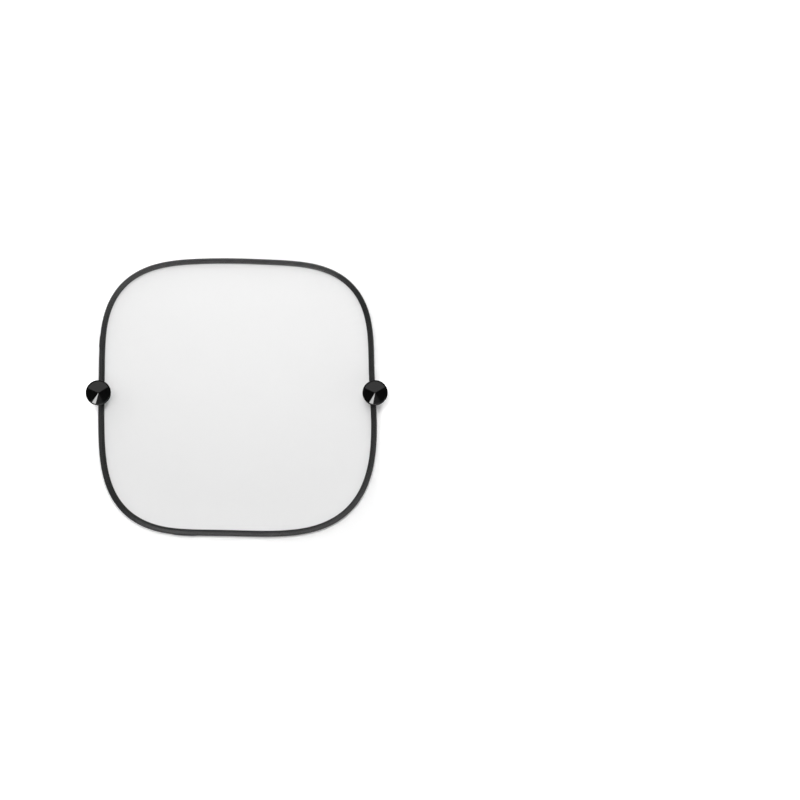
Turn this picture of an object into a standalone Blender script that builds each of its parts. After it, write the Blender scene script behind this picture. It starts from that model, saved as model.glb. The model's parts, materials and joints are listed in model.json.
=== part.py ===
"""Car window sunshade, lying on its back with its two suction cups facing up.

A white fabric panel is kept taut by a sprung wire hoop. The wire runs in a folded
fabric binding that is sewn round the panel's edge, and its ends meet in a crimped
sleeve at the lower left. The tape of the binding laps over its own end on the left,
above the cup. A suction cup sits on the wire at each side: the wire passes through
a hole across the cup's stem, in a notch of the binding and the panel.

X runs across the shade, Y up it and Z out of its face, in metres. The origin is at
the middle of the footprint, on the surface that the shade lies on.
"""

import bisect
import math

import bmesh
import bpy
from mathutils import Matrix, Vector

# Outline of the hoop
SHADE_WIDTH = 0.380  # across the binding, along X
SHADE_HEIGHT = 0.380  # across the binding, along Y
CORNER_REACH = 0.0779  # height of the four-sided wave that turns the circle square, by radius
CORNER_TIGHTNESS = 0.0059  # height of the eight-sided wave that tightens the corners, by radius
HOOP_WAVES = (  # the sprung wire's small unevenness: waves in a turn, height by radius, phase
    (2, 0.0012, -126.0),
    (3, 0.0019, -32.0),
    (5, 0.0021, -81.0),
    (6, 0.0030, -99.0),
    (7, 0.0029, -106.0),
)
HOOP_SAMPLES = 1440  # points that the outline is measured from
HOOP_STATIONS = 96  # cross-sections round the hoop, apart from those at the sleeve and the lap

# Clearance between pieces that touch
GAP = 0.0003

# Spring wire and the crimped sleeve that joins its ends
WIRE_DIAMETER = 0.0018
WIRE_SIDES = 8
WIRE_END_GAP = 0.0005
SLEEVE_ANGLE = -111.0  # where the wire's ends meet, seen from the hoop's middle
SLEEVE_LENGTH = 0.020
SLEEVE_WALL = 0.0003
SLEEVE_SIDES = 16
CRIMP_COUNT = 3
CRIMP_DEPTH = 0.00012
CRIMP_WIDTH = 0.0030

# Panel and the folded binding that holds its edge and the wire
PANEL_THICKNESS = 0.0004
PANEL_EDGE_GAP = 0.0004  # between the panel's edge and the channel at the sleeve
PANEL_SAG = 0.0018  # how far the middle of the sheet hangs below its seam
SAG_RUN = 0.022  # in which it goes down, in from the seam
SAG_RINGS = 5
BINDING_WIDTH = 0.0080
FOLD_WAVES = ((1, 0.0006, 240.0), (2, 0.0002, 50.0))  # how the fold strays from its mean width
TAPE_THICKNESS = 0.0005
LEAF_RUN = 0.0011  # in which the two leaves close from the bead to the seam
SWELL_RUN = 0.010  # in which the binding swells to pass over the sleeve
STITCH_INSET = 0.0015  # from the fold's inner edge to the groove of its stitches
GROOVE_WIDTH = 0.0005
GROOVE_DEPTH = 0.0002
LAP_LEVEL = 0.0840  # height on the left side at which the tape's upper end is cut
LAP_LENGTH = 0.013  # over which it lies on the tape's other end
LAP_SLANT = 0.0095  # how far up its diagonal cut reaches at the inner edge
LAP_RAMP = 0.004  # in which it comes down to the panel again
LAP_STEP = 0.0001  # in which the cut edge steps up
LAP_BLEND = 0.030  # in which the cross-sections turn from square to slanted
BEAD_STEPS = 6  # facets of the binding's rounded outer edge
CHANNEL_STEPS = 8  # facets of the channel that the wire runs in

# Suction cups
CUP_DIAMETER = 0.0345
CUP_STAND = 0.0153  # from the wire's centre up to the lip
CUP_LEVEL = 0.0064  # height of the cups on the hoop, above its middle
CUP_OUTSET = 0.0012  # how far the cup's axis is outboard of the wire
CONE_DEPTH = 0.0065
LIP_LAND = 0.0011
LIP_THICKNESS = 0.0008
CROWN_THICKNESS = 0.0028
CUP_TAPER = 1.3  # how fast the wall thins from the crown to the lip
CUP_SIDES = 48
BACK_STEPS = 5
STEM_DIAMETER = 0.0072
NECK_ROUND = 0.0016
FOOT_WALL = 0.0011
FOOT_ROUND = 0.0007
FILLET_STEPS = 3
HOLE_SIDES = 16
STEM_OUTER_WALL = 0.0009
NOTCH_RELIEF = 0.0013  # room for the stem to lean inward
NOTCH_END_GAP = 0.0004
NOTCH_ROUND = 0.0008

# Colours
FABRIC_WHITE = (0.83, 0.83, 0.83)
BINDING_CHARCOAL = (0.045, 0.045, 0.046)
SPRING_STEEL = (0.42, 0.42, 0.43)
SLEEVE_STEEL = (0.62, 0.62, 0.63)
CUP_BLACK = (0.006, 0.006, 0.006)

# Sizes that follow from those above
WIRE_RADIUS = WIRE_DIAMETER / 2
BORE_RADIUS = WIRE_RADIUS + GAP
SLEEVE_RADIUS = BORE_RADIUS + SLEEVE_WALL
SLEEVE_CHANNEL = SLEEVE_RADIUS + GAP
BEAD_RADIUS = BORE_RADIUS + TAPE_THICKNESS
SLOT_HALF = PANEL_THICKNESS / 2 + GAP
SEAM_HALF = SLOT_HALF + TAPE_THICKNESS
BINDING_INNER = BINDING_WIDTH - BEAD_RADIUS
PANEL_INSET = SLEEVE_CHANNEL + PANEL_EDGE_GAP
CUP_RADIUS = CUP_DIAMETER / 2
STEM_RADIUS = STEM_DIAMETER / 2
FOOT_DEPTH = BORE_RADIUS + FOOT_WALL
RELIEF_LEVEL = BEAD_RADIUS + GAP
NOTCH_DEPTH = STEM_RADIUS - CUP_OUTSET + NOTCH_RELIEF
NOTCH_HALF = STEM_RADIUS + NOTCH_END_GAP
SLEEVE_HALF = SLEEVE_LENGTH / 2
WIRE_HEIGHT = max(FOOT_DEPTH, SLEEVE_CHANNEL + TAPE_THICKNESS, BEAD_RADIUS + TAPE_THICKNESS)
CUTTER_REACH = STEM_DIAMETER + BINDING_WIDTH

UP = Vector((0, 0, 1))


def clear_scene():
    for item in list(bpy.data.objects):
        bpy.data.objects.remove(item, do_unlink=True)


def make_material(name, colour, roughness, metallic=0.0):
    material = bpy.data.materials.new(name)
    material.use_nodes = True
    shader = material.node_tree.nodes["Principled BSDF"]
    shader.inputs["Base Color"].default_value = (*colour, 1.0)
    shader.inputs["Roughness"].default_value = roughness
    shader.inputs["Metallic"].default_value = metallic
    return material


def make_object(name, bm, material=None, smooth_angle=None):
    """Turn a bmesh into a linked object with its faces pointing out."""
    bmesh.ops.recalc_face_normals(bm, faces=bm.faces)
    mesh = bpy.data.meshes.new(name)
    bm.to_mesh(mesh)
    bm.free()
    if smooth_angle is not None:
        mesh.shade_smooth()
        mesh.set_sharp_from_angle(angle=math.radians(smooth_angle))
    item = bpy.data.objects.new(name, mesh)
    bpy.context.collection.objects.link(item)
    if material is not None:
        mesh.materials.append(material)
    return item


def make_cutter(name, bm):
    cutter = make_object(name, bm)
    cutter.hide_render = True
    cutter.display_type = "WIRE"
    return cutter


def cut(item, cutter):
    modifier = item.modifiers.new(cutter.name, "BOOLEAN")
    modifier.operation = "DIFFERENCE"
    modifier.solver = "EXACT"
    modifier.object = cutter


def arc(centre, radius, start, end, steps):
    """Points on an arc, in degrees, both ends included."""
    points = []
    for step in range(steps + 1):
        angle = math.radians(start + (end - start) * step / steps)
        points.append((centre[0] + radius * math.cos(angle), centre[1] + radius * math.sin(angle)))
    return points


def soft_corner(start, corner, end, steps):
    """Points of a rounded corner between two points, both ends included."""
    points = []
    for step in range(steps + 1):
        t = step / steps
        weights = ((1 - t) ** 2, 2 * t * (1 - t), t**2)
        x = weights[0] * start[0] + weights[1] * corner[0] + weights[2] * end[0]
        z = weights[0] * start[1] + weights[1] * corner[1] + weights[2] * end[1]
        points.append((x, z))
    return points


def outline_radius(angle):
    """Radius of the hoop's outline at an angle, for a mean radius of one."""
    radius = 1 - CORNER_REACH * math.cos(4 * angle) + CORNER_TIGHTNESS * math.cos(8 * angle)
    for count, height, phase in HOOP_WAVES:
        radius += height * math.cos(count * angle - math.radians(phase))
    return radius


class Hoop:
    """The wire's centreline, a closed curve run anticlockwise from where its ends meet."""

    def __init__(self):
        self.points = self.fitted_outline()
        self.travelled = [0.0]
        for index, point in enumerate(self.points):
            step = (self.points[(index + 1) % HOOP_SAMPLES] - point).length
            self.travelled.append(self.travelled[-1] + step)
        self.length = self.travelled.pop()
        self.centre_on_footprint()
        self.lap = self.side_distance(-1, LAP_LEVEL)

    def fitted_outline(self):
        """The outline's points, sized so that the binding's outer edge measures the shade."""
        points = []
        for index in range(HOOP_SAMPLES):
            angle = math.tau * index / HOOP_SAMPLES + math.radians(SLEEVE_ANGLE)
            radius = outline_radius(angle)
            points.append(Vector((radius * math.cos(angle), radius * math.sin(angle), 0)))
        for axis, size in ((0, SHADE_WIDTH), (1, SHADE_HEIGHT)):
            low = min(point[axis] for point in points)
            high = max(point[axis] for point in points)
            scale = (size - 2 * BEAD_RADIUS) / (high - low)
            for point in points:
                point[axis] = (point[axis] - (low + high) / 2) * scale
        for point in points:
            point.z = WIRE_HEIGHT
        return points

    def centre_on_footprint(self):
        """Shift the hoop sideways until the cups and binding lie evenly about the origin."""
        right, left = (self.cup_place(side) for side in (1, -1))
        high = max(right.x + CUP_RADIUS, SHADE_WIDTH / 2)
        low = min(left.x - CUP_RADIUS, -SHADE_WIDTH / 2)
        for point in self.points:
            point.x -= (high + low) / 2

    def at(self, distance):
        """Point, direction and outward side of the wire at a distance along it."""
        distance %= self.length
        index = bisect.bisect_right(self.travelled, distance) - 1
        here = self.points[index]
        after = self.points[(index + 1) % HOOP_SAMPLES]
        before = self.points[index - 1]
        beyond = self.points[(index + 2) % HOOP_SAMPLES]
        share = (distance - self.travelled[index]) / (after - here).length
        direction = (after - before).lerp(beyond - here, share).normalized()
        return here.lerp(after, share), direction, direction.cross(UP)

    def side_distance(self, side, level):
        """Distance along the wire to a height on its right side (1) or its left (-1)."""
        nearest = 0
        for index, here in enumerate(self.points):
            after = self.points[(index + 1) % HOOP_SAMPLES]
            if here.x * side > 0 and (here.y - level) * (after.y - level) <= 0:
                nearest = index
        here = self.points[nearest]
        after = self.points[(nearest + 1) % HOOP_SAMPLES]
        share = (level - here.y) / (after.y - here.y)
        return self.travelled[nearest] + share * (after - here).length

    def cup_distance(self, side):
        return self.side_distance(side, CUP_LEVEL)

    def cup_place(self, side):
        """Centre of a cup, level with the wire."""
        point, _, outward = self.at(self.cup_distance(side))
        return point + outward * CUP_OUTSET

    def bend_shares(self):
        """How much of the hoop's length and of its turning lies before each of its points."""
        shares = [0.0]
        for index, point in enumerate(self.points):
            step = self.points[(index + 1) % HOOP_SAMPLES] - point
            turn = step.angle(point - self.points[index - 1])
            shares.append(shares[-1] + step.length / self.length + turn / math.tau)
        return shares

    def spread(self, start, end, count):
        """Distances from start to end, closer together where the hoop bends more."""
        shares = self.bend_shares()
        first = bisect.bisect_right(self.travelled, start)
        last = bisect.bisect_right(self.travelled, end) - 1
        distances = [start]
        for index in range(1, count):
            share = shares[first] + (shares[last] - shares[first]) * index / count
            distances.append(self.travelled[bisect.bisect_right(shares, share) - 1])
        return distances + [end]

    def stations(self):
        """Distances of the cross-sections, closer together at the sleeve and at the lap."""
        near = SLEEVE_HALF + SWELL_RUN
        distances = [0.0, SLEEVE_HALF / 2, SLEEVE_HALF, SLEEVE_HALF + SWELL_RUN / 2]
        distances += self.spread(near, self.length - near, HOOP_STATIONS)
        for distance in (SLEEVE_HALF + SWELL_RUN / 2, SLEEVE_HALF, SLEEVE_HALF / 2):
            distances.append(self.length - distance)
        for offset in (-LAP_STEP, 0.0, LAP_LENGTH, LAP_LENGTH + LAP_RAMP):
            distances.append((self.lap + offset) % self.length)
        distances.sort()
        pairs = zip(distances, distances[1:] + [self.length])
        return [here for here, after in pairs if after - here > LAP_STEP / 2]

    def channel_radius(self, distance):
        """Radius of the binding's channel: the bore, swollen to pass over the sleeve."""
        away = min(distance, self.length - distance) - SLEEVE_HALF
        return BORE_RADIUS + smooth_share(1 - away / SWELL_RUN) * (SLEEVE_CHANNEL - BORE_RADIUS)

    def fold_inner(self, distance):
        """How far in from the wire the fold reaches, which strays a little round the hoop."""
        point, _, _ = self.at(distance)
        angle = math.atan2(point.y, point.x)
        inner = BINDING_INNER
        for count, height, phase in FOLD_WAVES:
            inner += height * math.cos(count * angle - math.radians(phase))
        return inner

    def lap_lift(self, distance):
        """How far the tape's upper end stands over its lower one."""
        away = (distance - self.lap) % self.length
        return TAPE_THICKNESS * smooth_share(1 - (away - LAP_LENGTH) / LAP_RAMP)

    def lap_slant(self, distance):
        """How far a cross-section's inner edge is drawn back, to follow the diagonal cut."""
        away = abs(distance - self.lap)
        away = min(away, self.length - away)
        return LAP_SLANT * smooth_share(1 - away / LAP_BLEND)


def smooth_share(share):
    """A share that is kept from 0 to 1 and eases in and out."""
    share = min(max(share, 0), 1)
    return share * share * (3 - 2 * share)


def leaf_outside(inner, seam_start, height):
    """Outer face of a leaf from the fold's inner edge, with the groove of its stitches."""
    stitch = STITCH_INSET - inner
    half = GROOVE_WIDTH / 2
    groove = [(stitch - half, height), (stitch, height - GROOVE_DEPTH), (stitch + half, height)]
    return [(-inner, height)] + groove + [(-seam_start, height)]


def binding_outside(channel, inner, lift):
    """Outer side of the folded tape, outward and up from the wire: leaf, bead, leaf."""
    bead = channel + TAPE_THICKNESS + lift
    height = SEAM_HALF + lift
    seam_start = bead + LEAF_RUN
    reach = math.hypot(seam_start, height)
    tangent = math.atan2(height, -seam_start) - math.acos(bead / reach)
    bead_end = math.degrees(tangent)
    leaf = leaf_outside(inner, seam_start, height)
    back_leaf = [(u, -w) for u, w in reversed(leaf)]
    return leaf + arc((0, 0), bead, bead_end, -bead_end, BEAD_STEPS) + back_leaf


def binding_inside(channel, inner):
    """Inner side of the folded tape: the slot that holds the panel, and the wire's channel."""
    channel_end = math.degrees(math.pi - math.asin(SLOT_HALF / channel))
    bore = arc((0, 0), channel, -channel_end, channel_end, CHANNEL_STEPS)
    return [(-inner, -SLOT_HALF)] + bore + [(-inner, SLOT_HALF)]


def hoop_ring(hoop, distance, section, slant=0.0):
    """Points of a cross-section, drawn back along the hoop the further in they lie."""
    ring = []
    for u, w in section:
        back = slant * (BEAD_RADIUS - u) / BINDING_WIDTH
        point, _, outward = hoop.at(distance - back)
        ring.append(point + outward * u + UP * w)
    return ring


def skin(bm, rings, closed):
    """Skin rings of points, one after the other, and cap the ends of an open run."""
    rings = [[bm.verts.new(point) for point in ring] for ring in rings]
    count = len(rings[0])
    for index in range(len(rings) if closed else len(rings) - 1):
        ring = rings[index]
        after = rings[(index + 1) % len(rings)]
        for corner in range(count):
            beside = (corner + 1) % count
            bm.faces.new((ring[corner], ring[beside], after[beside], after[corner]))
    if not closed:
        bm.faces.new(rings[0])
        bm.faces.new(rings[-1])


def spin_profile(profile, sides):
    """Turn a profile of (radius, height) points about Z into a closed solid."""
    bm = bmesh.new()
    verts = [bm.verts.new((radius, 0, height)) for radius, height in profile]
    edges = [bm.edges.new(pair) for pair in zip(verts, verts[1:])]
    bmesh.ops.spin(
        bm, geom=verts + edges, cent=(0, 0, 0), axis=UP, angle=math.tau, steps=sides, use_merge=True
    )
    bmesh.ops.remove_doubles(bm, verts=bm.verts, dist=1e-6)
    return bm


def extrude_outline(outline, low, high):
    """Extrude a flat outline of (x, y) points from one height to another."""
    bm = bmesh.new()
    face = bm.faces.new([bm.verts.new((x, y, low)) for x, y in outline])
    extruded = bmesh.ops.extrude_face_region(bm, geom=[face])
    raised = [item for item in extruded["geom"] if isinstance(item, bmesh.types.BMVert)]
    bmesh.ops.translate(bm, verts=raised, vec=(0, 0, high - low))
    return bm


def build_wire(hoop):
    """The spring wire, cut where its two ends butt in the sleeve."""
    end = WIRE_END_GAP / 2
    between = [distance for distance in hoop.stations() if end < distance < hoop.length - end]
    distances = [end] + between + [hoop.length - end]
    circle = arc((0, 0), WIRE_RADIUS, 0, 360, WIRE_SIDES)[:-1]
    bm = bmesh.new()
    skin(bm, [hoop_ring(hoop, distance, circle) for distance in distances], closed=False)
    steel = make_material("spring_steel", SPRING_STEEL, 0.3, 1.0)
    return make_object("hoop_wire", bm, steel, smooth_angle=50)


def build_sleeve(hoop):
    """The crimped sleeve over the wire's ends, with a few shallow rolled crimps."""
    half_crimp = CRIMP_WIDTH / 2
    outside = [(SLEEVE_RADIUS, -SLEEVE_HALF)]
    for index in range(CRIMP_COUNT):
        middle = SLEEVE_LENGTH * ((index + 1) / (CRIMP_COUNT + 1) - 0.5)
        outside.append((SLEEVE_RADIUS, middle - half_crimp))
        outside.append((SLEEVE_RADIUS - CRIMP_DEPTH, middle))
        outside.append((SLEEVE_RADIUS, middle + half_crimp))
    outside.append((SLEEVE_RADIUS, SLEEVE_HALF))
    inside = [(BORE_RADIUS, SLEEVE_HALF), (BORE_RADIUS, -SLEEVE_HALF)]
    bm = spin_profile(outside + inside + outside[:1], SLEEVE_SIDES)
    steel = make_material("sleeve_steel", SLEEVE_STEEL, 0.35, 1.0)
    sleeve = make_object("wire_sleeve", bm, steel, smooth_angle=40)
    point, direction, _ = hoop.at(0)
    turn = UP.rotation_difference(direction).to_matrix()
    sleeve.matrix_world = Matrix.Translation(point) @ turn.to_4x4()
    return sleeve


def build_binding(hoop):
    """The folded tape: one closed loop with the section that the wire and panel need."""
    rings = []
    for distance in hoop.stations():
        channel = hoop.channel_radius(distance)
        inner = hoop.fold_inner(distance)
        outside = binding_outside(channel, inner, hoop.lap_lift(distance))
        inside = binding_inside(channel, inner)
        ring = hoop_ring(hoop, distance, outside, hoop.lap_slant(distance))
        rings.append(ring + hoop_ring(hoop, distance, inside))
    bm = bmesh.new()
    skin(bm, rings, closed=True)
    fabric = make_material("binding_fabric", BINDING_CHARCOAL, 0.85)
    return make_object("edge_binding", bm, fabric, smooth_angle=50)


def panel_section(inner):
    """The sheet from its tucked edge to where it lies level, as depth in and height."""
    section = [(PANEL_INSET, 0.0)]
    for index in range(SAG_RINGS + 1):
        share = index / SAG_RINGS
        section.append((inner + SAG_RUN * share, -PANEL_SAG * (1 - (1 - share) ** 3)))
    return section


def build_panel(hoop):
    """The sheet, tucked into the binding short of the wire, its middle near the table."""
    half = PANEL_THICKNESS / 2
    rings = []
    for distance in hoop.stations():
        section = panel_section(hoop.fold_inner(distance))
        upper = [(-depth, height + half) for depth, height in section]
        lower = [(-depth, height - half) for depth, height in reversed(section)]
        rings.append(hoop_ring(hoop, distance, upper + lower))
    middle = len(rings[0]) // 2
    bm = bmesh.new()
    columns = [[bm.verts.new(point) for point in ring] for ring in rings]
    for index, ring in enumerate(columns):
        after = columns[(index + 1) % len(columns)]
        for corner in range(len(ring)):
            beside = (corner + 1) % len(ring)
            if beside != middle:
                bm.faces.new((ring[corner], ring[beside], after[beside], after[corner]))
    bm.faces.new([ring[middle - 1] for ring in columns])
    bm.faces.new([ring[middle] for ring in columns])
    fabric = make_material("panel_fabric", FABRIC_WHITE, 0.7)
    return make_object("fabric_panel", bm, fabric, smooth_angle=50)


def cone_height(radius):
    """Height of the cup's hollow face above the wire's centre."""
    share = min(radius / (CUP_RADIUS - LIP_LAND), 1)
    return CUP_STAND - CONE_DEPTH * (1 - share)


def back_height(radius):
    """Height of the cup's back, whose wall thins from the crown to the lip."""
    thinning = max(1 - radius / CUP_RADIUS, 0) ** CUP_TAPER
    return cone_height(radius) - LIP_THICKNESS - (CROWN_THICKNESS - LIP_THICKNESS) * thinning


def cup_profile():
    """Half section of a cup, as radius and height from the wire's centre."""
    foot_edge = STEM_RADIUS - FOOT_ROUND
    profile = [(0, -FOOT_DEPTH)]
    profile += arc((foot_edge, FOOT_ROUND - FOOT_DEPTH), FOOT_ROUND, -90, 0, FILLET_STEPS)
    neck = back_height(STEM_RADIUS)
    flare = STEM_RADIUS + NECK_ROUND
    profile += soft_corner(
        (STEM_RADIUS, neck - NECK_ROUND), (STEM_RADIUS, neck), (flare, back_height(flare)), FILLET_STEPS
    )
    for step in range(1, BACK_STEPS + 1):
        radius = flare + (CUP_RADIUS - flare) * step / BACK_STEPS
        profile.append((radius, back_height(radius)))
    profile += [(CUP_RADIUS, CUP_STAND), (CUP_RADIUS - LIP_LAND, CUP_STAND), (0, cone_height(0))]
    return profile


def relief_outline():
    """Outline, outward and up, of what the stem loses outboard of the wire."""
    inner = BORE_RADIUS + STEM_OUTER_WALL - CUP_OUTSET
    outer = inner + CUTTER_REACH
    low = -FOOT_DEPTH - CUTTER_REACH
    return [(inner, low), (outer, low), (outer, RELIEF_LEVEL), (inner, RELIEF_LEVEL)]


def upright(bm):
    """Stand an extruded outline up, so that its y runs up and its depth along the wire."""
    bmesh.ops.rotate(bm, verts=bm.verts, cent=(0, 0, 0), matrix=Matrix.Rotation(math.pi / 2, 3, "X"))
    return bm


def cut_stem(name, cup):
    """Cut the relief that lets the cup swing right over, and the hole that the wire runs through."""
    hole_outline = arc((-CUP_OUTSET, 0), BORE_RADIUS, 0, 360, HOLE_SIDES)[:-1]
    for feature, outline in (("_relief", relief_outline()), ("_hole", hole_outline)):
        solid = extrude_outline(outline, -CUTTER_REACH, CUTTER_REACH)
        cutter = make_cutter(name + feature, upright(solid))
        cutter.parent = cup
        cut(cup, cutter)


def build_cup(hoop, name, side, material):
    """A one-piece cup on its pivot, an empty on the wire that has Y along the wire."""
    point, direction, outward = hoop.at(hoop.cup_distance(side))
    pivot = bpy.data.objects.new(name + "_pivot", None)
    bpy.context.collection.objects.link(pivot)
    axes = Matrix((outward, direction, UP)).transposed()
    pivot.matrix_world = Matrix.Translation(point) @ axes.to_4x4()
    cup = make_object(name, spin_profile(cup_profile(), CUP_SIDES), material, smooth_angle=25)
    cup.parent = pivot
    cup.location = (CUP_OUTSET, 0, 0)
    cut_stem(name, cup)
    return pivot


def notch_outline():
    """Notch seen from above, outward and along the wire, round in its two inner corners."""
    low = -NOTCH_DEPTH
    centre = NOTCH_HALF - NOTCH_ROUND
    outline = [(CUTTER_REACH, -NOTCH_HALF), (CUTTER_REACH, NOTCH_HALF)]
    outline += arc((low + NOTCH_ROUND, centre), NOTCH_ROUND, 90, 180, FILLET_STEPS)
    outline += arc((low + NOTCH_ROUND, -centre), NOTCH_ROUND, 180, 270, FILLET_STEPS)
    return outline


def cut_notch(name, pivot, pieces):
    notch = make_cutter(name + "_notch", extrude_outline(notch_outline(), -CUTTER_REACH, CUTTER_REACH))
    notch.matrix_world = pivot.matrix_world.copy()
    for piece in pieces:
        cut(piece, notch)


def build_sunshade():
    hoop = Hoop()
    build_wire(hoop)
    build_sleeve(hoop)
    fabric_pieces = [build_binding(hoop), build_panel(hoop)]
    pvc = make_material("cup_pvc", CUP_BLACK, 0.12)
    for name, side in (("left_suction_cup", -1), ("right_suction_cup", 1)):
        pivot = build_cup(hoop, name, side, pvc)
        cut_notch(name, pivot, fabric_pieces)


clear_scene()
build_sunshade()
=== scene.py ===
"""Looks of a car window sunshade that lies on its back on a white studio table.

The frame gives every place. X runs across the shade, Y up it and Z out of its face,
in metres, with the origin at the middle of the footprint on the table.
"""

import json
import math

import bmesh
import bpy
import numpy as np
from mathutils import Matrix, Vector


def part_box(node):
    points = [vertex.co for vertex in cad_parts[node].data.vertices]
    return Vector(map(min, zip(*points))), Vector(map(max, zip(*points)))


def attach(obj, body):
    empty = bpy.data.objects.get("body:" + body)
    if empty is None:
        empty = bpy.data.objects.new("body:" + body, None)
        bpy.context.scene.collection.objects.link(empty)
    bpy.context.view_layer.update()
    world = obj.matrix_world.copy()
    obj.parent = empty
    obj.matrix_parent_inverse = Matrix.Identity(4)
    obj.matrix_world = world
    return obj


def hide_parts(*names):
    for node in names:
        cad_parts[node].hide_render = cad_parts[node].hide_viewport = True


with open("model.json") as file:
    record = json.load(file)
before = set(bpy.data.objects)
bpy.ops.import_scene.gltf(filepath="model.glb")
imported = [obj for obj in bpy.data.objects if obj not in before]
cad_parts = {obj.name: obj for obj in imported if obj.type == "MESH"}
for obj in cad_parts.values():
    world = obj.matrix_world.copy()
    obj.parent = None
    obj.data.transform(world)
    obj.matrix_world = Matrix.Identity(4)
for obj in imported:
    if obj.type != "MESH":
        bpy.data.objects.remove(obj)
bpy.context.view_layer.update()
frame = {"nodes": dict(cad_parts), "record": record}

# The photograph's frame, which places the camera
PHOTO_PIXELS = 800
PIXEL = 0.380 / 278.66  # the binding's 380 mm over its width in the photograph
ORIGIN_PIXEL = (236.97, 397.5)  # the shade's middle, from the photograph's top left corner
CAMERA_HEIGHT = 10.0
SENSOR = 36.0  # in millimetres

# Outline of the hoop, as the solids have it
CORNER_REACH = 0.0779
CORNER_TIGHTNESS = 0.0059
HOOP_WAVES = (
    (2, 0.0012, -126.0),
    (3, 0.0019, -32.0),
    (5, 0.0021, -81.0),
    (6, 0.0030, -99.0),
    (7, 0.0029, -106.0),
)
HOOP_SAMPLES = 4000
SLEEVE_ANGLE = -111.0  # where the wire's ends meet, seen from the hoop's middle

# Wire, sleeve and folded tape, as the solids have them
WIRE_RADIUS = 0.0009
BORE_RADIUS = 0.0012
SLEEVE_CHANNEL = 0.0018
SLEEVE_HALF = 0.010
SWELL_RUN = 0.010
TAPE_THICKNESS = 0.0005
PANEL_THICKNESS = 0.0004
SLOT_HALF = 0.0005
SEAM_HALF = SLOT_HALF + TAPE_THICKNESS
LEAF_RUN = 0.0011  # in which the two leaves close from the bead to the seam
LEAF_STEPS = 15
SLOPE_SHARES = (0.33, 0.67)  # where the slope between seam and bead has its points
TIP_STEPS = 3
BEAD_STEPS = 12
TAPE_STATIONS = 920  # cross-sections along the tape
TAPE_SHARP_ANGLE = 40.0
BINDING_WIDTH = 0.0080
BEAD_RADIUS = BORE_RADIUS + TAPE_THICKNESS
BINDING_INNER = BINDING_WIDTH - BEAD_RADIUS
FOLD_WAVES = ((1, 0.0006, 240.0), (2, 0.0002, 50.0))  # how the fold's width strays round the hoop
EDGE_RUN = 0.0029  # how much of the tape stands off the cloth at the fold's inner edge
EDGE_FLARE = 0.00062  # and how far its edge does
PANEL_INSET = 0.0022  # from the wire's centre to the cloth's edge

# The overlap of the tape's two ends, on the left side above the cup
LAP_LEVEL = 0.0840
LAP_LENGTH = 0.013
LAP_RAMP = 0.004
LAP_SLANT = 0.0095  # how far up its diagonal cut reaches at the inner edge
SLANT_RUN = 3 * LAP_SLANT  # in which the cross-sections turn from slanted to square

# Seam
STITCH_INSET = 0.0015
STITCH_PITCH = 0.0031
STITCH_LENGTH = 0.0026
STITCH_RINGS = 7
STITCH_BEND = 2.1  # how near its middle a stitch starts to dive
STITCH_DIVE = 1.6  # and how deep its ends go, by the thread's radius
STITCH_SWAY = 0.00004
STITCH_SEEDS = {1: 11, -1: 12}  # by side: the face and the back
THREAD_RADIUS = 0.00019
THREAD_SIDES = 8
THREAD_TAPER = (0.93, 6, 0.05)  # where its ends thin, how suddenly and down to what square share
THREAD_SHARP_ANGLE = 60.0
GROOVE_DEPTH = 0.00012
GROOVE_WIDTH = 0.0006

# Panel
PANEL_SAG = 0.0019
PANEL_SAG_RUN = 0.0100
PUCKER_HEIGHT = 0.00009
PUCKER_RUN = 0.012
PUCKER_RISE = 0.002
PUCKER_CORNER = (50.0, 24.0, 0.00018)  # at the top right corner: its angle, spread and extra height
PUCKER_WAVES = 60
PUCKER_SEED = 5
PANEL_STATIONS = 600
HIDDEN_RINGS = (0.0045, BINDING_INNER - 0.0002)  # rings inside the fold, in from the wire
FREE_RING_RUN = 0.0006  # from the fold to the first free ring
FREE_RING_SPREAD = 1.35
FREE_RINGS = 8
RING_GROWTH = 1.12  # how the next rings widen, down to the last that follows the hoop
LAST_RING = 0.045
CENTRE_STEPS = 21
CENTRE_DEPTH = 0.185  # the middle's distance in from the wire
CLOTH_SHARP_ANGLE = 50.0

# Cups, as the solids have them
CUP_RADIUS = 0.01725
CUP_STAND = 0.0153
CUP_OUTSET = 0.0012
CONE_DEPTH = 0.0065
LIP_LAND = 0.0011
LIP_THICKNESS = 0.0008
LIP_ROUND = 0.00018
CROWN_THICKNESS = 0.0028
CUP_TAPER = 1.3
STEM_RADIUS = 0.0036
NECK_ROUND = 0.0016
FOOT_DEPTH = 0.0023
FOOT_ROUND = 0.0007
STEM_OUTER_WALL = 0.0009
RELIEF_LEVEL = BEAD_RADIUS + 0.0003
NOTCH_DEPTH = 0.0037
NOTCH_HALF = 0.0040
NOTCH_ROUND = 0.0008
NOTCH_STEPS = 6
NOTCH_EDGE = 0.00002  # half the width in which the cloth's edge steps into a notch
NOTCH_CLEARANCE = 0.0001
CUP_SIDES = 160
FOOT_STEPS = 8
NECK_STEPS = 10
BACK_STEPS = 22
CONE_STEPS = 24
LIP_UNDER = -60.0  # angle at which the back runs into the lip's round
LIP_STEPS = (3, 5)  # under the lip's edge and over it
LAND_EASE = (0.0002, 0.00004)  # width and drop of the eased edge inside the lip's land
CONE_START = 0.0003  # from the land to the cone's first ring
CONE_END = 0.0004  # and the radius of its last ring
CONE_TIP = 0.00012  # radius at which the cone's point is blunted
MERGE_GAP = 1e-6
HOLE_STEPS = 40
CUT_HALF = 0.01  # how far a cutter reaches to either side
CUT_REACH = 0.02  # and how far past the stuff that it cuts
CUT_SHARP_ANGLE = 35.0

UP = np.array((0.0, 0.0, 1.0))


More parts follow.
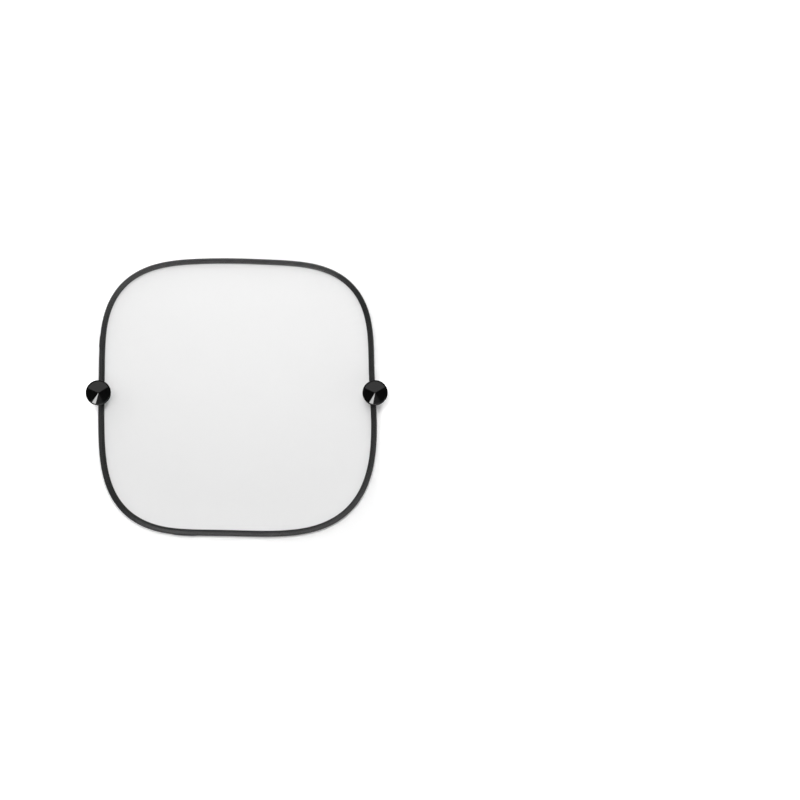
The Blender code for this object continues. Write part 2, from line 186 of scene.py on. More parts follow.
class Hoop:
    """The wire's centreline, sized and placed by the solid wire."""

    def __init__(self):
        low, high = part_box("hoop_wire")
        angles = math.tau * np.arange(HOOP_SAMPLES) / HOOP_SAMPLES + math.radians(SLEEVE_ANGLE)
        radius = 1 - CORNER_REACH * np.cos(4 * angles) + CORNER_TIGHTNESS * np.cos(8 * angles)
        for count, height, phase in HOOP_WAVES:
            radius += height * np.cos(count * angles - math.radians(phase))
        flat = np.stack((radius * np.cos(angles), radius * np.sin(angles)), axis=1)
        for axis in (0, 1):
            first, last = low[axis] + WIRE_RADIUS, high[axis] - WIRE_RADIUS
            raw = flat[:, axis]
            share = (raw - raw.min()) / (raw.max() - raw.min())
            flat[:, axis] = first + share * (last - first)
        level = (low[2] + high[2]) / 2
        self.level = level
        self.points = np.column_stack((flat, np.full(HOOP_SAMPLES, level)))
        steps = np.linalg.norm(np.roll(self.points, -1, axis=0) - self.points, axis=1)
        self.distances = np.concatenate(([0.0], np.cumsum(steps)))
        self.length = self.distances[-1]
        run = np.roll(self.points, -1, axis=0) - np.roll(self.points, 1, axis=0)
        self.directions = run / np.linalg.norm(run, axis=1)[:, None]

    def at(self, distances):
        """Points and outward sides of the wire at distances along it."""
        wrapped = np.mod(distances, self.length)
        points = self.read(self.points, wrapped)
        directions = self.read(self.directions, wrapped)
        directions /= np.linalg.norm(directions, axis=1)[:, None]
        return points, np.cross(directions, UP)

    def read(self, values, wrapped):
        closed = np.concatenate((values, values[:1]))
        columns = [np.interp(wrapped, self.distances, closed[:, axis]) for axis in range(3)]
        return np.stack(columns, axis=1)

    def nearest(self, place):
        """Distance along the wire that lies nearest to a place."""
        gaps = np.linalg.norm(self.points - np.array(place), axis=1)
        return self.distances[int(np.argmin(gaps))]

    def left_at(self, level):
        """Distance along the left side of the wire at a height on the shade."""
        left = self.points[:, 0] < 0
        gaps = np.where(left, np.abs(self.points[:, 1] - level), 1.0)
        return self.distances[int(np.argmin(gaps))]


def smooth_step(share):
    share = np.clip(share, 0, 1)
    return share * share * (3 - 2 * share)


def waves(values, count, seed):
    """A seeded sum of smooth waves, between about -1 and 1, along values from 0 to 1."""
    draw = np.random.default_rng(seed)
    total = np.zeros_like(values)
    for _ in range(count):
        cycles = draw.integers(count // 2, count * 3)
        total += np.sin(math.tau * (cycles * values + draw.random()))
    return total / math.sqrt(count)


def to_object(name, verts, faces, sharp_angle, uvs=None):
    """A mesh object from arrays. uvs holds one pair for each corner of each face."""
    mesh = bpy.data.meshes.new(name)
    mesh.from_pydata(verts.tolist(), [], faces)
    if uvs is not None:
        layer = mesh.uv_layers.new(name="UVMap")
        layer.data.foreach_set("uv", np.asarray(uvs, dtype=np.float32).ravel())
    bm = bmesh.new()
    bm.from_mesh(mesh)
    bmesh.ops.recalc_face_normals(bm, faces=bm.faces)
    bm.to_mesh(mesh)
    bm.free()
    mesh.shade_smooth()
    mesh.set_sharp_from_angle(angle=math.radians(sharp_angle))
    item = bpy.data.objects.new(name, mesh)
    bpy.context.collection.objects.link(item)
    return item


def grid_faces(rows, columns, closed_rows, closed_columns):
    """Quads between the points of a grid, which may close on itself either way."""
    faces = []
    for row in range(rows if closed_rows else rows - 1):
        near = row * columns
        far = (row + 1) % rows * columns
        for column in range(columns if closed_columns else columns - 1):
            beside = (column + 1) % columns
            faces.append((near + column, near + beside, far + beside, far + column))
    return faces


def apply_modifiers(item):
    """Bake an object's modifiers into its mesh."""
    graph = bpy.context.evaluated_depsgraph_get()
    mesh = bpy.data.meshes.new_from_object(item.evaluated_get(graph))
    item.modifiers.clear()
    item.data = mesh


def cut_away(item, cutters):
    """Cut other objects' shapes out of an item, and then remove those objects."""
    for cutter in cutters:
        modifier = item.modifiers.new("cut", "BOOLEAN")
        modifier.operation = "DIFFERENCE"
        modifier.solver = "EXACT"
        modifier.object = cutter
    bpy.context.view_layer.update()
    apply_modifiers(item)
    item.data.set_sharp_from_angle(angle=math.radians(CUT_SHARP_ANGLE))
    for cutter in cutters:
        bpy.data.objects.remove(cutter, do_unlink=True)


def cutter_prism(name, outline):
    """A prism over an outline, which reaches as far below the outline's plane as above it."""
    bm = bmesh.new()
    face = bm.faces.new([bm.verts.new((x, y, -CUT_HALF)) for x, y in outline])
    extruded = bmesh.ops.extrude_face_region(bm, geom=[face])
    raised = [item for item in extruded["geom"] if isinstance(item, bmesh.types.BMVert)]
    bmesh.ops.translate(bm, verts=raised, vec=(0, 0, 2 * CUT_HALF))
    bmesh.ops.recalc_face_normals(bm, faces=bm.faces)
    mesh = bpy.data.meshes.new(name)
    bm.to_mesh(mesh)
    bm.free()
    item = bpy.data.objects.new(name, mesh)
    bpy.context.collection.objects.link(item)
    return item


def arc(centre, radius, start, end, steps):
    """Points on an arc between two angles in degrees, ends included."""
    angles = np.radians(np.linspace(start, end, steps + 1))
    return [(centre[0] + radius * math.cos(a), centre[1] + radius * math.sin(a)) for a in angles]


class Pivot:
    """Where a cup sits on the wire: its place, outward side and direction along the wire."""

    def __init__(self, joint):
        self.place = Vector(joint["pos_m"])
        self.along = Vector(joint["axis"])
        self.outward = self.along.cross(Vector((0, 0, 1)))
        axes = Matrix((self.outward, self.along, Vector((0, 0, 1)))).transposed()
        self.matrix = Matrix.Translation(self.place) @ axes.to_4x4()


def cup_pivots():
    """The pivots of the cups, by the names of their bodies."""
    joints = frame["record"]["behaviour"]["joints"]
    return {joint["child"]: Pivot(joint) for joint in joints}


# Binding


def channel_radius(hoop, distances):
    """The channel that the wire runs in, swollen where it passes over the sleeve."""
    wrapped = np.mod(distances, hoop.length)
    away = np.minimum(wrapped, hoop.length - wrapped) - SLEEVE_HALF
    return BORE_RADIUS + smooth_step(1 - away / SWELL_RUN) * (SLEEVE_CHANNEL - BORE_RADIUS)


def fold_inner(hoop, distances):
    """How far in from the wire the fold reaches, which strays a little round the hoop."""
    points, _ = hoop.at(distances)
    angles = np.arctan2(points[:, 1], points[:, 0])
    inner = np.full(len(points), BINDING_INNER)
    for count, height, phase in FOLD_WAVES:
        inner += height * np.cos(count * angles - math.radians(phase))
    return inner


def flare(x, inner):
    """How far the fold's inner edge stands off the cloth."""
    return EDGE_FLARE * np.clip((EDGE_RUN - inner - x) / EDGE_RUN, 0, 1)


def tape_section(channel, lift, inner):
    """Folded tape, outward and up from the wire: the outer face, then back along the inside.

    lift raises the layer where it lies over the tape's other end. inner is the fold's depth.
    """
    bead = channel + TAPE_THICKNESS + lift
    seam = SEAM_HALF + lift
    seam_start = bead + LEAF_RUN
    reach = math.hypot(seam_start, seam)
    bead_end = math.atan2(seam, -seam_start) - math.acos(bead / reach)
    tip = TAPE_THICKNESS / 2
    lip = tip - inner
    under = SLOT_HALF + lift + flare(lip, inner)
    rounded = arc((lip, under + tip), tip, 180, 90, TIP_STEPS)
    stitch = STITCH_INSET - inner
    leaf = []
    for x in np.linspace(lip + tip, -seam_start, LEAF_STEPS):
        dip = GROOVE_DEPTH * math.exp(-(((x - stitch) / GROOVE_WIDTH) ** 2))
        leaf.append((x, seam - dip + flare(x, inner)))
    slope = []
    tangent = (bead * math.cos(bead_end), bead * math.sin(bead_end))
    for share in SLOPE_SHARES:
        x = -seam_start + share * (tangent[0] + seam_start)
        slope.append((x, seam + share * (tangent[1] - seam)))
    top = rounded + leaf + slope
    round_edge = arc((0, 0), bead, math.degrees(bead_end), -math.degrees(bead_end), BEAD_STEPS)
    bottom = [(x, -z) for x, z in reversed(top)]
    inner_channel = channel + lift
    channel_end = 180 - math.degrees(math.asin(SLOT_HALF / inner_channel))
    slot = [(lip, under), (-seam_start, SLOT_HALF + lift)]
    inside = [(x, -z) for x, z in slot]
    inside += arc((0, 0), inner_channel, -channel_end, channel_end, BEAD_STEPS)
    inside += reversed(slot)
    return top + round_edge + bottom + inside


def section_lengths(section):
    """Distance travelled round a section, for the weave's coordinates."""
    steps = np.linalg.norm(np.diff(np.array(section), axis=0), axis=1)
    return np.concatenate(([0.0], np.cumsum(steps)))


def tape_lift(distances, start):
    """How far the tape's upper layer stands over its lower one after its start."""
    away = distances - start - LAP_LENGTH
    return TAPE_THICKNESS * smooth_step(1 - away / LAP_RAMP)


def cup_notch(name, pivot):
    """The shape that is cut out of the binding where a cup's stem stands."""
    corner = NOTCH_HALF - NOTCH_ROUND
    outline = [(CUT_REACH, -NOTCH_HALF), (CUT_REACH, NOTCH_HALF)]
    outline += arc((NOTCH_ROUND - NOTCH_DEPTH, corner), NOTCH_ROUND, 90, 180, NOTCH_STEPS)
    outline += arc((NOTCH_ROUND - NOTCH_DEPTH, -corner), NOTCH_ROUND, 180, 270, NOTCH_STEPS)
    notch = cutter_prism(name, outline)
    notch.matrix_world = pivot.matrix
    return notch


def build_binding(hoop, pivots):
    """The tape from its raw end, once round the hoop and on under its own start."""
    start = hoop.left_at(LAP_LEVEL)
    count = TAPE_STATIONS
    distances = np.linspace(start, start + hoop.length + LAP_LENGTH, count)
    channels = channel_radius(hoop, distances)
    lifts = tape_lift(distances, start)
    inners = fold_inner(hoop, distances)
    sections = [tape_section(*sizes) for sizes in zip(channels, lifts, inners)]
    profile = np.array(sections)
    columns = profile.shape[1]
    sideways, upward = profile[:, :, 0], profile[:, :, 1]
    slant = smooth_step(1 - (distances - start) / SLANT_RUN)[:, None]
    shifted = distances[:, None] + slant * LAP_SLANT * (sideways - BEAD_RADIUS) / BINDING_WIDTH
    points, outward = hoop.at(shifted.ravel())
    verts = points + outward * sideways.reshape(-1, 1) + UP * upward.reshape(-1, 1)
    faces = grid_faces(count, columns, False, True)
    faces.append(tuple(range(columns)))
    faces.append(tuple(range((count - 1) * columns, count * columns)))
    across = section_lengths(sections[count // 2])
    outermost = across[int(np.argmax(sideways[count // 2]))]
    across = outermost - np.abs(across - outermost)  # the same from both edges of the fold
    along = distances - start
    uvs = []
    for row in range(count - 1):
        for column in range(columns):
            low, high = across[column], across[(column + 1) % columns]
            near, far = along[row], along[row + 1]
            uvs += [(near, low), (near, high), (far, high), (far, low)]
    uvs += [(0.0, across[column]) for column in range(columns)] * 2
    tape = to_object("binding_tape", verts, faces, TAPE_SHARP_ANGLE, uvs)
    cut_away(tape, [cup_notch(body + "_notch", pivot) for body, pivot in pivots.items()])
    return tape


# Stitches


def stitch_path(length):
    """One stitch along the seam and up from the tape: it rises, runs and dives."""
    places = np.linspace(-0.5, 0.5, STITCH_RINGS)
    heights = THREAD_RADIUS * (1.0 - (STITCH_BEND * np.abs(places)) ** 4 * STITCH_DIVE)
    return places * length, heights


def build_stitches(hoop, side):
    """The lockstitch on the face (1) or the back (-1) of the binding."""
    start = hoop.left_at(LAP_LEVEL)
    count = int(hoop.length / STITCH_PITCH)
    draw = np.random.default_rng(STITCH_SEEDS[side])
    centres = (np.arange(count) + 0.5 * (side < 0)) * hoop.length / count
    along, heights = stitch_path(STITCH_LENGTH)
    rings, sides = STITCH_RINGS, THREAD_SIDES
    circle = math.tau * np.arange(sides) / sides
    shares = np.linspace(-1, 1, rings)
    reach, power, least = THREAD_TAPER
    radius = THREAD_RADIUS * np.sqrt(np.clip(1 - (shares * reach) ** power, least, 1))
    rise = EDGE_FLARE * (EDGE_RUN - STITCH_INSET) / EDGE_RUN
    verts, faces = [], []
    for centre in centres:
        sway = draw.normal(0, STITCH_SWAY, 2)
        distances = centre + along
        points, outward = hoop.at(distances)
        across = -fold_inner(hoop, distances) + STITCH_INSET + sway[0] + sway[1] * shares
        gone = np.mod(distances - start, hoop.length)
        level = SEAM_HALF - GROOVE_DEPTH + rise + tape_lift(gone, 0.0) + heights
        first = len(verts)
        for ring in range(rings):
            for angle in circle:
                u = across[ring] + radius[ring] * math.cos(angle)
                w = side * (level[ring] + radius[ring] * math.sin(angle))
                verts.append(points[ring] + outward[ring] * u + UP * w)
        faces += [tuple(first + i for i in face) for face in grid_faces(rings, sides, False, True)]
        faces.append(tuple(first + i for i in range(sides)))
        faces.append(tuple(first + (rings - 1) * sides + i for i in range(sides)))
    name = "seam_thread_face" if side > 0 else "seam_thread_back"
    return to_object(name, np.array(verts), faces, THREAD_SHARP_ANGLE)


# Panel


def puckers(points, share):
    """Height of the cloth's puckers round the hoop, which are deeper at one corner."""
    angles = np.degrees(np.arctan2(points[:, 1], points[:, 0]))
    middle, spread, gain = PUCKER_CORNER
    heights = PUCKER_HEIGHT + gain * np.exp(-(((angles - middle) / spread) ** 2))
    return heights * waves(share, PUCKER_WAVES, PUCKER_SEED)


def panel_level(hoop, inward, pucker):
    """Height of the cloth at a distance in from the wire, with the puckers round it."""
    free = np.clip(inward - BINDING_INNER, 0, None)
    sag = PANEL_SAG * (1 - np.exp(-free / PANEL_SAG_RUN))
    return hoop.level - sag + pucker * np.exp(-free / PUCKER_RUN) * (1 - np.exp(-free / PUCKER_RISE))


def panel_edge(hoop, pivots):
    """Distances along the wire, and how far in the cloth's edge is there, with its notches."""
    middles = [hoop.nearest(pivot.place) for pivot in pivots.values()]
    distances = np.linspace(0, hoop.length, PANEL_STATIONS, endpoint=False)
    steps = [side * (NOTCH_HALF + edge) for side in (-1, 1) for edge in (-NOTCH_EDGE, NOTCH_EDGE)]
    extra = [middle + step for middle in middles for step in steps]
    distances = np.unique(np.mod(np.concatenate((distances, extra)), hoop.length))
    inset = np.full(len(distances), PANEL_INSET)
    for middle in middles:
        inset[np.abs(distances - middle) < NOTCH_HALF] = NOTCH_DEPTH + NOTCH_CLEARANCE
    return distances, inset


def ring_depths():
    """How far in from the wire the cloth's rings are, from the seam on ever wider apart."""
    free = FREE_RING_RUN * np.arange(1, FREE_RINGS + 1) ** FREE_RING_SPREAD
    depths = [*HIDDEN_RINGS, *(BINDING_INNER + free)]
    while depths[-1] < LAST_RING:
        depths.append(depths[-1] * RING_GROWTH)
    return depths


def build_panel(hoop, pivots):
    """The cloth: rings in from the edge, then drawn together to the middle."""
    distances, inset = panel_edge(hoop, pivots)
    count = len(distances)
    points, outward = hoop.at(distances)
    pucker = puckers(points, distances / hoop.length)
    rings = [(points - outward * inset[:, None], inset)]
    rings += [(points - outward * depth, np.full(count, depth)) for depth in ring_depths()]
    middle = np.array((0.0, 0.0, hoop.level))
    last = rings[-1][0]
    for step in np.linspace(0, 1, CENTRE_STEPS + 1)[1:-1]:
        inward = LAST_RING + (CENTRE_DEPTH - LAST_RING) * step
        rings.append((last + (middle - last) * step, np.full(count, inward)))
    top = []
    for ring, inward in rings:
        placed = ring.copy()
        placed[:, 2] = panel_level(hoop, inward, pucker)
        top.append(placed)
    inwards = np.concatenate([inward for _, inward in rings] + [[CENTRE_DEPTH]])
    centre = np.array([[0.0, 0.0, hoop.level - PANEL_SAG]])
    half = UP * PANEL_THICKNESS / 2
    face = np.concatenate(top + [centre])
    verts = np.concatenate((face + half, face - half))
    tip = len(top) * count
    inmost = tip - count
    below = len(face)
    sheet = grid_faces(len(top), count, False, True)
    sheet += [(inmost + i, inmost + (i + 1) % count, tip) for i in range(count)]
    under = [tuple(below + i for i in reversed(polygon)) for polygon in sheet]
    rim = [(i, below + i, below + (i + 1) % count, (i + 1) % count) for i in range(count)]
    faces = sheet + under + rim
    uvs = [(inwards[i % below], 0.0) for polygon in faces for i in polygon]
    return to_object("panel_cloth", verts, faces, CLOTH_SHARP_ANGLE, uvs), rings[0][0]


# Cups


def cone_height(radius):
    """Height of the cup's hollow face over the wire."""
    return CUP_STAND - CONE_DEPTH * (1 - min(radius / (CUP_RADIUS - LIP_LAND), 1))


def back_height(radius):
    """Height of the cup's back, whose wall thins from the crown to the lip."""
    thinning = max(1 - radius / CUP_RADIUS, 0) ** CUP_TAPER
    return cone_height(radius) - LIP_THICKNESS - (CROWN_THICKNESS - LIP_THICKNESS) * thinning


def cup_profile():
    """Half section of a cup, as radius and height from the wire, with its edges rounded."""
    foot_edge = STEM_RADIUS - FOOT_ROUND
    profile = [(0, -FOOT_DEPTH)]
    profile += arc((foot_edge, FOOT_ROUND - FOOT_DEPTH), FOOT_ROUND, -90, 0, FOOT_STEPS)
    neck = back_height(STEM_RADIUS)
    crown = STEM_RADIUS + NECK_ROUND
    for t in np.linspace(0, 1, NECK_STEPS):
        first, second, third = (1 - t) ** 2, 2 * t * (1 - t), t**2
        x = first * STEM_RADIUS + second * STEM_RADIUS + third * crown
        z = first * (neck - NECK_ROUND) + second * neck + third * back_height(crown)
        profile.append((x, z))
    for radius in np.linspace(crown, CUP_RADIUS - LIP_ROUND, BACK_STEPS)[1:]:
        profile.append((radius, back_height(radius)))
    low = back_height(CUP_RADIUS) + LIP_ROUND
    high = CUP_STAND - LIP_ROUND
    edge = CUP_RADIUS - LIP_ROUND
    under, over = LIP_STEPS
    profile += arc((edge, low), LIP_ROUND, LIP_UNDER, 0, under)
    profile += arc((edge, high), LIP_ROUND, 0, 90, over)
    land = CUP_RADIUS - LIP_LAND
    ease, drop = LAND_EASE
    profile += [(land + ease, CUP_STAND), (land, CUP_STAND - drop)]
    for radius in np.linspace(land - CONE_START, CONE_END, CONE_STEPS):
        profile.append((radius, cone_height(radius)))
    profile.append((0, cone_height(CONE_TIP)))
    return profile


def build_cup(name, pivot):
    """One cup, turned about its own axis, with its relief and hole cut."""
    bm = bmesh.new()
    verts = [bm.verts.new((radius, 0, height)) for radius, height in cup_profile()]
    edges = [bm.edges.new(pair) for pair in zip(verts, verts[1:])]
    turn = {"cent": (0, 0, 0), "axis": (0, 0, 1), "angle": math.tau, "steps": CUP_SIDES}
    bmesh.ops.spin(bm, geom=verts + edges, use_merge=True, **turn)
    bmesh.ops.remove_doubles(bm, verts=bm.verts, dist=MERGE_GAP)
    bmesh.ops.recalc_face_normals(bm, faces=bm.faces)
    mesh = bpy.data.meshes.new(name)
    bm.to_mesh(mesh)
    bm.free()
    mesh.shade_smooth()
    cup = bpy.data.objects.new(name, mesh)
    bpy.context.collection.objects.link(cup)
    inner = BORE_RADIUS + STEM_OUTER_WALL - CUP_OUTSET
    relief = [(inner, -CUT_REACH), (CUT_REACH, -CUT_REACH), (CUT_REACH, RELIEF_LEVEL), (inner, RELIEF_LEVEL)]
    hole = arc((-CUP_OUTSET, 0), BORE_RADIUS, 0, 360, HOLE_STEPS)[:-1]
    cutters = [cutter_prism("stem_cutter", outline) for outline in (relief, hole)]
    for cutter in cutters:
        cutter.data.transform(Matrix.Rotation(math.pi / 2, 4, "X"))
    cut_away(cup, cutters)
    cup.data.transform(pivot.matrix @ Matrix.Translation((CUP_OUTSET, 0, 0)))
    return cup


# Materials

# Cloth: its weave, its tones by cloud and slub, and the painted shade beside its seam
WEAVE_PITCH = 0.00032
WEAVE_BUMP = (0.00002, 0.5)  # each bump's height and strength
CLOTH_TONES = (0.855, 0.867)
CLOTH_CLOUDS = (22.0, 3.0)  # each noise's scale and detail
SLUB_TONE = 0.80
SLUB_SHARE = 0.12
SLUBS = (900.0, 1.0)
SLUB_RELIEF = 0.4
CLOTH_ROUGHNESS = (0.62, 0.52)
CLOTH_SPECULAR = 0.12
PAINTED_SEAM_SHADE = 0.07  # how much darker the painted shade makes the cloth beside its seam
PAINTED_SEAM_SHADE_RUN = 0.0075

# Tape: yarns along it, ribs across it, and painted shade between them
YARN_PITCH = 0.0004
YARN_BUMP = (0.00007, 1.0)
YARN_GAP = (0.5, 0.7)  # the yarns' height under which the painted shade in the gaps shows, and its share at the bottom
YARN_GAP_PAINTED_SHADE = 0.004
RIB_PITCH = 0.0013
RIB_SLANT = 0.35
RIB_RELIEF = 0.25
RIB_GAP = (0.6, 0.3)  # the same of the ribs
RIB_GAP_PAINTED_SHADE = 0.008
EDGE_YARN = 0.5  # how much of the yarns' relief is left along the fold's inner edge
PRESSED_SOFT = 0.0003
TAPE_TONES = (0.010, 0.019)
TAPE_PATCHES = (95.0, 2.0)
TAPE_FIBRES = (2600.0, 1.0)
FIBRE_RELIEF = 0.15
TAPE_ROUGHNESS = (0.24, 0.34)
TAPE_SPECULAR = 0.8

# Thread, cups and steel
THREAD_TONES = (0.012, 0.045)
THREAD_TWIST = (4200.0, 1.0)
TWIST_BUMP = (0.00006, 0.6)
THREAD_ROUGHNESS = 0.5
THREAD_SHEEN = 0.15
PVC_TONES = (0.0022, 0.009)
PVC_DUST = (1500.0, 3.0)
PVC_DUSTY = (0.55, 0.8)  # the range of the noise that lightens the tone
PVC_DULL = (0.4, 0.8)  # and the one that dulls the gloss
PVC_SWELL = (160.0, 2.0)
SWELL_BUMP = (0.00003, 0.35)
PVC_ROUGHNESS = (0.05, 0.16)
PVC_IOR = 1.5
STEEL_LINES = (3000.0, 2.0)
STEEL_LINE_DULLNESS = 0.15
LINE_BUMP = (0.00001, 0.4)
STEEL_GRIME = (260.0, 3.0)
GRIMY_TONE = 0.7  # by the clean steel's
WIRE_STEEL = (0.38, 0.28)  # tone and roughness
SLEEVE_STEEL = (0.6, 0.3)
BUMP_FILTER = 0.02


class Nodes:
    """Short ways to add and join a material's or world's nodes."""

    def __init__(self, tree):
        self.tree = tree

    def add(self, kind, **settings):
        node = self.tree.nodes.new(kind)
        for name, value in settings.items():
            setattr(node, name, value)
        return node

    def put(self, value, socket):
        if isinstance(value, bpy.types.NodeSocket):
            self.tree.links.new(value, socket)
        else:
            socket.default_value = value

    def math(self, operation, *values):
        node = self.add("ShaderNodeMath", operation=operation)
        for value, socket in zip(values, node.inputs):
            self.put(value, socket)
        return node.outputs[0]

    def mix(self, factor, first, second):
        node = self.add("ShaderNodeMix", data_type="RGBA")
        self.put(factor, node.inputs["Factor"])
        self.put(first, node.inputs[6])
        self.put(second, node.inputs[7])
        return node.outputs[2]

    def noise(self, vector, scale, detail):
        node = self.add("ShaderNodeTexNoise")
        self.put(vector, node.inputs["Vector"])
        node.inputs["Scale"].default_value = scale
        node.inputs["Detail"].default_value = detail
        return node.outputs["Fac"]

    def ramp(self, value, low, high, to_low=0.0, to_high=1.0):
        node = self.add("ShaderNodeMapRange")
        self.put(value, node.inputs["Value"])
        for name, number in zip(("From Min", "From Max", "To Min", "To Max"), (low, high, to_low, to_high)):
            self.put(number, node.inputs[name])
        return node.outputs[0]

    def bump(self, height, distance, strength):
        node = self.add("ShaderNodeBump")
        self.put(height, node.inputs["Height"])
        node.inputs["Distance"].default_value = distance
        node.inputs["Strength"].default_value = strength
        node.inputs["Filter Width"].default_value = BUMP_FILTER
        return node.outputs["Normal"]


def new_material(name):
    material = bpy.data.materials.new(name)
    material.use_nodes = True
    nodes = Nodes(material.node_tree)
    return material, nodes, material.node_tree.nodes["Principled BSDF"]


def grey(value):
    return (value, value, value, 1.0)


def two_greys(nodes, share, tones):
    """A tone between two greys."""
    return nodes.mix(share, grey(tones[0]), grey(tones[1]))


def threads(nodes, across, along, pitch):
    """Height of a plain weave: over-and-under threads both ways, from 0 to 1."""
    turn = math.pi / pitch
    warp = nodes.math("SINE", nodes.math("MULTIPLY", across, turn))
    weft = nodes.math("SINE", nodes.math("MULTIPLY", along, turn))
    product = nodes.math("MULTIPLY", warp, weft)
    return nodes.math("MULTIPLY_ADD", product, 0.5, 0.5)


def panel_material():
    """Smooth white polyester in a fine plain weave, with painted shade beside its seam."""
    material, nodes, shader = new_material("white_polyester")
    place = nodes.add("ShaderNodeTexCoord").outputs["Object"]
    split = nodes.add("ShaderNodeSeparateXYZ")
    nodes.put(place, split.inputs[0])
    weave = threads(nodes, split.outputs["X"], split.outputs["Y"], WEAVE_PITCH)
    cloudy = nodes.noise(place, *CLOTH_CLOUDS)
    slubs = nodes.noise(place, *SLUBS)
    tone = two_greys(nodes, cloudy, CLOTH_TONES)
    tone = nodes.mix(nodes.math("MULTIPLY", slubs, SLUB_SHARE), tone, grey(SLUB_TONE))
    edge = nodes.add("ShaderNodeSeparateXYZ")
    nodes.put(nodes.add("ShaderNodeUVMap", uv_map="UVMap").outputs[0], edge.inputs[0])
    # painted shade: the cloth's tone darkens towards black close to the seam
    free = nodes.math("SUBTRACT", edge.outputs["X"], BINDING_INNER)
    closed = nodes.math("EXPONENT", nodes.math("DIVIDE", free, -PAINTED_SEAM_SHADE_RUN))
    tone = nodes.mix(nodes.math("MULTIPLY", closed, PAINTED_SEAM_SHADE), tone, grey(0.0))
    nodes.put(tone, shader.inputs["Base Color"])
    nodes.put(nodes.ramp(weave, 0, 1, *CLOTH_ROUGHNESS), shader.inputs["Roughness"])
    shader.inputs["Specular IOR Level"].default_value = CLOTH_SPECULAR
    height = nodes.math("MULTIPLY_ADD", slubs, SLUB_RELIEF, weave)
    nodes.put(nodes.bump(height, *WEAVE_BUMP), shader.inputs["Normal"])
    return material


def tape_material():
    """Charcoal tape: shiny yarns that run along it, over faint ribs across it, with painted shade in the gaps
    between them.
    """
    material, nodes, shader = new_material("charcoal_tape")
    place = nodes.add("ShaderNodeUVMap", uv_map="UVMap").outputs[0]
    split = nodes.add("ShaderNodeSeparateXYZ")
    nodes.put(place, split.inputs[0])
    along, across = split.outputs["X"], split.outputs["Y"]
    yarn = nodes.math("ABSOLUTE", nodes.math("SINE", nodes.math("MULTIPLY", across, math.pi / YARN_PITCH)))
    slanted = nodes.math("MULTIPLY_ADD", across, RIB_SLANT, along)
    rib = nodes.math("SINE", nodes.math("MULTIPLY", slanted, math.tau / RIB_PITCH))
    rib = nodes.math("MULTIPLY_ADD", rib, 0.5, 0.5)
    position = nodes.add("ShaderNodeTexCoord").outputs["Object"]
    patches = nodes.noise(position, *TAPE_PATCHES)
    fibres = nodes.noise(position, *TAPE_FIBRES)
    tone = two_greys(nodes, patches, TAPE_TONES)
    # painted shade: a darker tone where the yarns and ribs dip, in the gaps between them
    tone = nodes.mix(nodes.ramp(yarn, 0.0, *YARN_GAP, 0.0), tone, grey(YARN_GAP_PAINTED_SHADE))
    tone = nodes.mix(nodes.ramp(rib, 0.0, *RIB_GAP, 0.0), tone, grey(RIB_GAP_PAINTED_SHADE))
    nodes.put(tone, shader.inputs["Base Color"])
    nodes.put(nodes.ramp(fibres, 0, 1, *TAPE_ROUGHNESS), shader.inputs["Roughness"])
    shader.inputs["Specular IOR Level"].default_value = TAPE_SPECULAR
    height = nodes.math("MULTIPLY_ADD", rib, RIB_RELIEF, yarn)
    pressed = nodes.ramp(across, EDGE_RUN, EDGE_RUN + PRESSED_SOFT, EDGE_YARN, 1.0)
    height = nodes.math("MULTIPLY", height, pressed)
    height = nodes.math("MULTIPLY_ADD", fibres, FIBRE_RELIEF, height)
    nodes.put(nodes.bump(height, *YARN_BUMP), shader.inputs["Normal"])
    return material


def thread_material():
    """Black twisted polyester thread."""
    material, nodes, shader = new_material("black_thread")
    position = nodes.add("ShaderNodeTexCoord").outputs["Object"]
    twist = nodes.noise(position, *THREAD_TWIST)
    nodes.put(two_greys(nodes, twist, THREAD_TONES), shader.inputs["Base Color"])
    shader.inputs["Roughness"].default_value = THREAD_ROUGHNESS
    shader.inputs["Sheen Weight"].default_value = THREAD_SHEEN
    nodes.put(nodes.bump(twist, *TWIST_BUMP), shader.inputs["Normal"])
    return material


def cup_material():
    """Glossy black soft PVC, with the faintest unevenness of a moulded face."""
    material, nodes, shader = new_material("black_pvc")
    position = nodes.add("ShaderNodeTexCoord").outputs["Object"]
    dust = nodes.noise(position, *PVC_DUST)
    swell = nodes.noise(position, *PVC_SWELL)
    nodes.put(two_greys(nodes, nodes.ramp(dust, *PVC_DUSTY), PVC_TONES), shader.inputs["Base Color"])
    nodes.put(nodes.ramp(dust, *PVC_DULL, *PVC_ROUGHNESS), shader.inputs["Roughness"])
    shader.inputs["IOR"].default_value = PVC_IOR
    nodes.put(nodes.bump(swell, *SWELL_BUMP), shader.inputs["Normal"])
    return material


def steel_material(name, tone, roughness):
    """Drawn or rolled steel with fine lines and a little grime."""
    material, nodes, shader = new_material(name)
    position = nodes.add("ShaderNodeTexCoord").outputs["Object"]
    lines = nodes.noise(position, *STEEL_LINES)
    grime = nodes.noise(position, *STEEL_GRIME)
    nodes.put(two_greys(nodes, grime, (tone, tone * GRIMY_TONE)), shader.inputs["Base Color"])
    dull = roughness + STEEL_LINE_DULLNESS
    nodes.put(nodes.ramp(lines, 0, 1, roughness, dull), shader.inputs["Roughness"])
    shader.inputs["Metallic"].default_value = 1.0
    nodes.put(nodes.bump(lines, *LINE_BUMP), shader.inputs["Normal"])
    return material


def dress(item, material):
    """Give an object its one material."""
    item.data.materials.clear()
    item.data.materials.append(material)


# Stage

